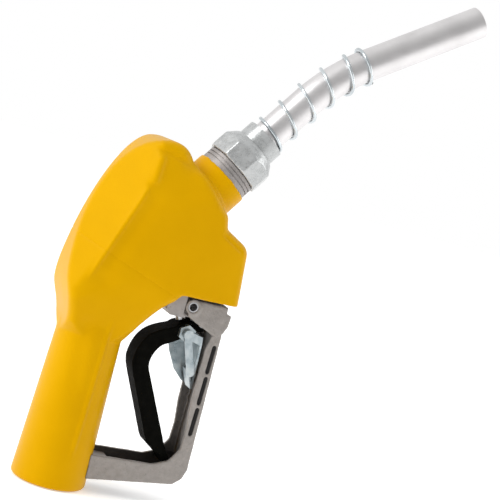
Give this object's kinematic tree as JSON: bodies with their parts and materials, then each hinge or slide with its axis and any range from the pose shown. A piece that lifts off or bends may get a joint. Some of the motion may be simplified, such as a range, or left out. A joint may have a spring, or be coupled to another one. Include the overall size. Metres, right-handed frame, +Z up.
{
  "type": "automatic fuel nozzle",
  "caption": "Hand-held automatic shut-off fuel nozzle: bent spout with retaining coil, soft grip cover, hand lever inside a cast guard.",
  "frame": {"origin": "centre of the hose inlet face at the foot of the grip", "axes": "+Z up the grip away from the hose, +X towards the lever guard and spout side, +Y across the body"},
  "size_m": [0.2301, 0.0572, 0.3611],
  "materials": {
    "cast_aluminium": "rough cast",
    "guard_aluminium": "rough cast",
    "steel": "machined",
    "zinc_steel": "bright zinc plate",
    "spring_wire": "zinc plated wire",
    "brass": "machined",
    "seal_rubber": "matte",
    "black_plastic": "moulded",
    "lever_black": "satin black coating",
    "yellow_vinyl": "satin soft vinyl",
    "spout_aluminium": "satin drawn tube",
    "nut_aluminium": "die cast"
  },
  "bodies": {
    "body": {"body_casting": "cast_aluminium", "grip_cover": "yellow_vinyl", "body_cover": "yellow_vinyl", "lever_guard": "guard_aluminium", "guard_pins": "steel", "guard_screw": "steel", "latch_ring": "steel", "diaphragm": "seal_rubber", "diaphragm_cap": "brass", "diaphragm_spring": "spring_wire", "gland_nut": "brass", "stem_packing": "seal_rubber", "valve_seat": "brass", "main_spring": "spring_wire", "bonnet_cap": "brass", "bonnet_seal": "seal_rubber", "inlet_strainer": "steel", "check_seat": "brass", "check_guide": "black_plastic", "check_spring": "spring_wire", "spout_tube": "spout_aluminium", "spout_collar": "nut_aluminium", "spout_nut": "nut_aluminium", "spout_seals": "seal_rubber", "spout_coil": "spring_wire", "sensing_tube": "black_plastic", "attitude_housing": "black_plastic"},
    "plunger": {"trip_plunger": "steel", "latch_balls": "steel", "plunger_spring": "spring_wire"},
    "lever": {"lever": "lever_black", "lever_pivot_pin": "steel", "clip_bolt": "zinc_steel", "clip_nut": "zinc_steel", "clip_spring": "spring_wire"},
    "clip": {"hold_open_clip": "zinc_steel"},
    "stem": {"valve_stem": "steel", "poppet": "brass", "poppet_seal": "seal_rubber"},
    "latch": {"latch_pin": "steel", "diaphragm_plate": "brass"},
    "check_valve": {"check_poppet": "black_plastic"},
    "ball": {"attitude_ball": "steel"}
  },
  "joints": [
    {"name": "trip_slide", "type": "slide", "parent": "body", "child": "plunger", "axis": [0, 0, 1], "range_m": [-0.005, 0], "stiffness_N_per_m": 2000, "springref_m": 0.002, "deforming": ["plunger_spring"]},
    {"name": "lever_squeeze", "type": "hinge", "parent": "plunger", "child": "lever", "pos_m": [0.0665, 0, 0.117], "axis": [0, 1, 0], "range_deg": [0, 15], "stiffness_Nm_per_rad": 1.2, "springref_deg": -22.92},
    {"name": "clip_swing", "type": "hinge", "parent": "lever", "child": "clip", "pos_m": [0.0573, 0, 0.1092], "axis": [0, 1, 0], "range_deg": [-6, 18], "stiffness_Nm_per_rad": 0.02},
    {"name": "stem_lift", "type": "slide", "parent": "body", "child": "stem", "axis": [-0.4067, 0, 0.9135], "range_m": [0, 0.0036], "deforming": ["main_spring"]},
    {"name": "latch_lift", "type": "slide", "parent": "body", "child": "latch", "axis": [0, 0, 1], "range_m": [0, 0.003], "stiffness_N_per_m": 400, "springref_m": -0.002, "deforming": ["diaphragm_spring"]},
    {"name": "check_valve_lift", "type": "slide", "parent": "body", "child": "check_valve", "axis": [0.5592, 0, 0.829], "range_m": [0, 0.004], "stiffness_N_per_m": 400, "springref_m": -0.002, "deforming": ["check_spring"]},
    {"name": "attitude_ball_roll", "type": "slide", "parent": "body", "child": "ball", "axis": [0.8131, 0, 0.5821], "range_m": [0, 0.003]}
  ],
  "couplings": [
    {"joint": "stem_lift", "follows": "lever_squeeze", "m_per_rad": 0.0132}
  ]
}
